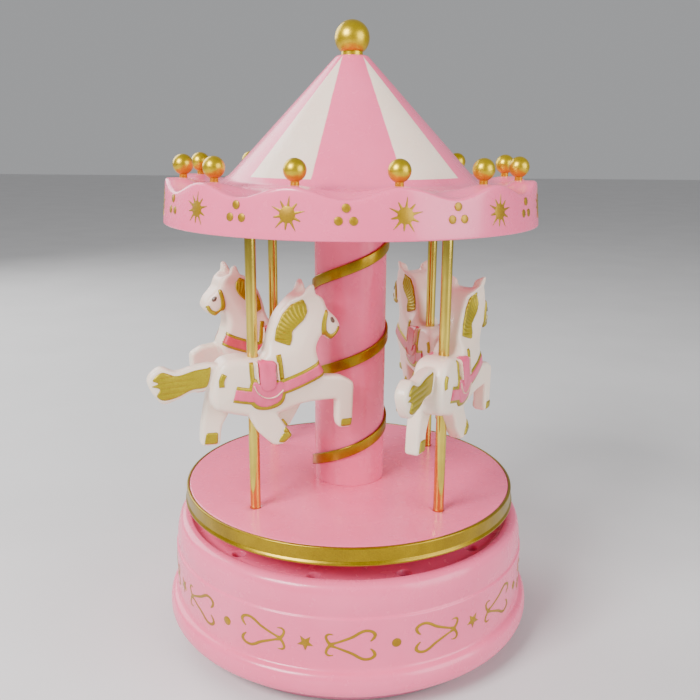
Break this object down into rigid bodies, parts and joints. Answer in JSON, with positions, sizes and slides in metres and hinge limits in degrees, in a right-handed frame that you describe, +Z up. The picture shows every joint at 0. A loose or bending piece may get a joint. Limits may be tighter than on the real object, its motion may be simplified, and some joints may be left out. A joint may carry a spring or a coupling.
{
  "type": "wind-up carousel music box",
  "caption": "Wind-up music box shaped as a carousel: round base with a winding disc, turning platform, spiral column, horses on poles and a striped canopy.",
  "frame": {"origin": "centre of the face the box rests on, under the four rubber feet", "axes": "+Z up along the column, the carousel's turning axis; -Y towards the front; +X to the right seen from the front"},
  "size_m": [0.1128, 0.1128, 0.18],
  "materials": {
    "pink_plastic": "glossy",
    "deep_pink_plastic": "glossy",
    "gold_paint": "metallic paint",
    "polished_brass": "polished",
    "ivory_plastic": "glossy",
    "rubber": "matte",
    "steel": "brushed",
    "zinc": "cast",
    "movement_brass": "satin",
    "nylon": "matte"
  },
  "bodies": {
    "base": {"base_shell": "pink_plastic", "base_cover": "deep_pink_plastic", "cover_screws": "steel", "deck_bush": "movement_brass", "movement_bedplate": "zinc", "bedplate_screws": "steel", "music_comb": "steel", "comb_screws": "steel", "inner_bearing": "steel", "outer_bearing": "steel", "governor_bracket": "steel", "wrap_spring": "steel"},
    "winder": {"winding_disc": "deep_pink_plastic", "feet": "rubber", "winding_arbor": "steel", "arbor_nut": "steel"},
    "turntable": {"spring_barrel": "zinc", "crown_gear": "movement_brass", "mainspring": "steel", "output_shaft": "steel", "platform": "pink_plastic", "platform_trim": "gold_paint", "column": "pink_plastic", "column_spiral": "gold_paint", "canopy_ceiling": "pink_plastic", "canopy": "pink_plastic", "ceiling_screws": "steel", "rim_balls": "gold_paint", "finial": "gold_paint"},
    "drum": {"music_drum": "movement_brass", "drum_pins": "steel", "drum_shaft": "steel", "drum_pinion": "nylon", "drum_gear": "movement_brass"},
    "governor": {"governor_shaft": "steel", "governor_pinion": "nylon", "worm_wheel": "movement_brass"},
    "air_brake": {"worm_shaft": "steel", "air_brake": "nylon"},
    "rider_front_left": {"pole_front_left": "polished_brass", "horse_front_left": "ivory_plastic"},
    "rider_front_right": {"pole_front_right": "polished_brass", "horse_front_right": "ivory_plastic"},
    "rider_rear_right": {"pole_rear_right": "polished_brass", "horse_rear_right": "ivory_plastic"},
    "rider_rear_left": {"pole_rear_left": "polished_brass", "horse_rear_left": "ivory_plastic"}
  },
  "joints": [
    {"name": "winding_turn", "type": "hinge", "parent": "base", "child": "winder", "pos_m": [0, 0, 0.003], "axis": [0, 0, 1], "range_deg": [0, 1080]},
    {"name": "carousel_turn", "type": "hinge", "parent": "base", "child": "turntable", "pos_m": [0, 0, 0.04], "axis": [0, 0, 1], "continuous": true},
    {"name": "drum_turn", "type": "hinge", "parent": "base", "child": "drum", "pos_m": [0.028, 0, 0.02], "axis": [1, 0, 0], "continuous": true},
    {"name": "governor_turn", "type": "hinge", "parent": "base", "child": "governor", "pos_m": [0.041, 0.01, 0.02], "axis": [1, 0, 0], "continuous": true},
    {"name": "air_brake_spin", "type": "hinge", "parent": "base", "child": "air_brake", "pos_m": [0.0417, 0.0166, 0.02], "axis": [0, 0, 1], "continuous": true},
    {"name": "front_left_horse_swivel", "type": "hinge", "parent": "turntable", "child": "rider_front_left", "pos_m": [-0.02602, -0.02602, 0.08], "axis": [0, 0, 1], "range_deg": [-118, 4]},
    {"name": "front_right_horse_swivel", "type": "hinge", "parent": "turntable", "child": "rider_front_right", "pos_m": [0.02602, -0.02602, 0.08], "axis": [0, 0, 1], "range_deg": [-46, 2]},
    {"name": "rear_right_horse_swivel", "type": "hinge", "parent": "turntable", "child": "rider_rear_right", "pos_m": [0.02602, 0.02602, 0.08], "axis": [0, 0, 1], "range_deg": [-41, 3]},
    {"name": "rear_left_horse_swivel", "type": "hinge", "parent": "turntable", "child": "rider_rear_left", "pos_m": [-0.02602, 0.02602, 0.08], "axis": [0, 0, 1], "range_deg": [-45, 75]}
  ],
  "couplings": [
    {"joint": "drum_turn", "follows": "carousel_turn", "ratio": -4},
    {"joint": "governor_turn", "follows": "carousel_turn", "ratio": 16},
    {"joint": "air_brake_spin", "follows": "carousel_turn", "ratio": -160}
  ]
}
